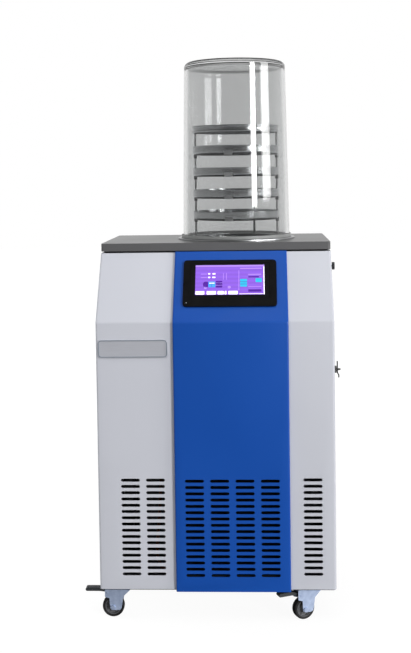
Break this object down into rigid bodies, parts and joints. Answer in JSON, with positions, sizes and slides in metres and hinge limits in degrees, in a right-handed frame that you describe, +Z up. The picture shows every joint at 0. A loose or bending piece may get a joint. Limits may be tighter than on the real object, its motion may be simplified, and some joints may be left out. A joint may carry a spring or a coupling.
{
  "type": "laboratory freeze dryer",
  "caption": "Floor-standing laboratory freeze dryer: a grey and blue sheet-metal cabinet on casters, a sloped touch screen, and a clear bell jar over a rack of round trays.",
  "frame": {"origin": "on the floor under the middle of the machine's bounding box", "axes": "+Z up, -Y towards the front with the screen, +X towards the right side with the two valves"},
  "size_m": [0.6935, 0.522, 1.473],
  "materials": {
    "grey_powder_coat": "fine-textured pale grey powder coat on steel sheet",
    "blue_powder_coat": "smooth satin blue powder coat on steel sheet",
    "cover_powder_coat": "mid-grey textured powder coat on steel sheet",
    "black_abs": "moulded black plastic, semi-gloss",
    "dark_nylon": "moulded dark grey nylon, matt",
    "screen_glass": "lit display behind a clear cover",
    "clear_acrylic": "clear cast acrylic, polished",
    "clear_silicone": "translucent moulded silicone",
    "stainless_steel": "drawn stainless steel, fine brushed",
    "zinc_plate": "bright zinc-plated pressed steel",
    "aluminium_sheet": "mill-finish aluminium",
    "copper_tube": "drawn copper",
    "brass_fitting": "turned brass",
    "black_enamel": "black stove enamel on drawn steel",
    "black_foam": "closed-cell black foam",
    "caster_rubber": "black elastic rubber tread",
    "galvanised_sheet": "galvanised steel sheet"
  },
  "bodies": {
    "cabinet": {"base_tray": "black_enamel", "front_left_panel": "grey_powder_coat", "front_right_panel": "grey_powder_coat", "front_center_panel": "blue_powder_coat", "left_side_panel": "grey_powder_coat", "right_side_panel": "grey_powder_coat", "back_panel": "grey_powder_coat", "cover_subframe": "black_foam", "top_cover": "cover_powder_coat", "screen_bezel": "black_abs", "touch_display": "screen_glass", "badge_plate": "stainless_steel", "cold_trap": "stainless_steel", "trap_insulation": "black_foam", "evaporator_coil": "copper_tube", "seal_ring": "clear_silicone", "bell_jar": "clear_acrylic", "rack_frame": "stainless_steel", "rack_top_plate": "stainless_steel", "compressor": "black_enamel", "condenser": "aluminium_sheet", "fan_shroud": "galvanised_sheet", "fan_motor": "black_enamel", "filter_drier": "copper_tube", "discharge_pipe": "copper_tube", "liquid_pipe": "copper_tube", "suction_pipe": "copper_tube", "control_box": "galvanised_sheet", "power_inlet": "black_abs", "pump_socket": "black_abs", "vacuum_port": "stainless_steel", "drain_pipe": "clear_silicone", "drain_valve_body": "brass_fitting", "vent_valve_body": "brass_fitting", "shelf_ring_1": "stainless_steel", "tray_1": "stainless_steel", "shelf_ring_2": "stainless_steel", "tray_2": "stainless_steel", "shelf_ring_3": "stainless_steel", "tray_3": "stainless_steel", "shelf_ring_4": "stainless_steel", "tray_4": "stainless_steel", "caster_plate_front_left": "zinc_plate", "caster_plate_front_right": "zinc_plate", "caster_plate_rear_left": "zinc_plate", "caster_plate_rear_right": "zinc_plate"},
    "fork_front_left": {"caster_fork_front_left": "zinc_plate"},
    "wheel_front_left": {"caster_wheel_front_left": "caster_rubber"},
    "pedal_front_left": {"brake_pedal_front_left": "dark_nylon"},
    "fork_front_right": {"caster_fork_front_right": "zinc_plate"},
    "wheel_front_right": {"caster_wheel_front_right": "caster_rubber"},
    "pedal_front_right": {"brake_pedal_front_right": "dark_nylon"},
    "fork_rear_left": {"caster_fork_rear_left": "zinc_plate"},
    "wheel_rear_left": {"caster_wheel_rear_left": "caster_rubber"},
    "fork_rear_right": {"caster_fork_rear_right": "zinc_plate"},
    "wheel_rear_right": {"caster_wheel_rear_right": "caster_rubber"},
    "drain_lever": {"drain_valve_lever": "dark_nylon"},
    "vent_knob": {"vent_valve_knob": "dark_nylon"},
    "rocker": {"power_switch": "dark_nylon"},
    "fan": {"fan_blade": "aluminium_sheet"}
  },
  "joints": [
    {"name": "swivel_front_left", "type": "hinge", "parent": "cabinet", "child": "fork_front_left", "pos_m": [-0.248, -0.191, 0.084], "axis": [0, 0, 1], "continuous": true},
    {"name": "wheel_front_left_spin", "type": "hinge", "parent": "fork_front_left", "child": "wheel_front_left", "pos_m": [-0.278, -0.191, 0.02875], "axis": [0, 1, 0], "continuous": true},
    {"name": "brake_front_left", "type": "hinge", "parent": "fork_front_left", "child": "pedal_front_left", "pos_m": [-0.292, -0.191, 0.066], "axis": [0, -1, 0], "range_deg": [0, 12]},
    {"name": "swivel_front_right", "type": "hinge", "parent": "cabinet", "child": "fork_front_right", "pos_m": [0.248, -0.191, 0.084], "axis": [0, 0, 1], "continuous": true},
    {"name": "wheel_front_right_spin", "type": "hinge", "parent": "fork_front_right", "child": "wheel_front_right", "pos_m": [0.22059, -0.2032, 0.02875], "axis": [-0.4067, 0.9135, 0], "continuous": true},
    {"name": "brake_front_right", "type": "hinge", "parent": "fork_front_right", "child": "pedal_front_right", "pos_m": [0.2078, -0.2089, 0.066], "axis": [0.4067, -0.9135, 0], "range_deg": [0, 12]},
    {"name": "swivel_rear_left", "type": "hinge", "parent": "cabinet", "child": "fork_rear_left", "pos_m": [-0.248, 0.191, 0.084], "axis": [0, 0, 1], "continuous": true},
    {"name": "wheel_rear_left_spin", "type": "hinge", "parent": "fork_rear_left", "child": "wheel_rear_left", "pos_m": [-0.25727, 0.21953, 0.02875], "axis": [0.9511, 0.309, 0], "continuous": true},
    {"name": "swivel_rear_right", "type": "hinge", "parent": "cabinet", "child": "fork_rear_right", "pos_m": [0.248, 0.191, 0.084], "axis": [0, 0, 1], "continuous": true},
    {"name": "wheel_rear_right_spin", "type": "hinge", "parent": "fork_rear_right", "child": "wheel_rear_right", "pos_m": [0.25526, 0.22011, 0.02875], "axis": [0.9703, -0.2419, 0], "continuous": true},
    {"name": "drain_lever_turn", "type": "hinge", "parent": "cabinet", "child": "drain_lever", "pos_m": [0.332, 0.066, 0.604], "axis": [1, 0, 0], "range_deg": [0, 90]},
    {"name": "vent_knob_turn", "type": "hinge", "parent": "cabinet", "child": "vent_knob", "pos_m": [0.313, -0.04473, 0.908], "axis": [1, 0, 0], "range_deg": [0, 270]},
    {"name": "power_switch_tilt", "type": "hinge", "parent": "cabinet", "child": "rocker", "pos_m": [0.168, 0.2478, 0.2], "axis": [1, 0, 0], "range_deg": [-8, 8]},
    {"name": "fan_spin", "type": "hinge", "parent": "cabinet", "child": "fan", "pos_m": [0.041, -0.1627, 0.2426], "axis": [0, 1, 0], "continuous": true}
  ]
}
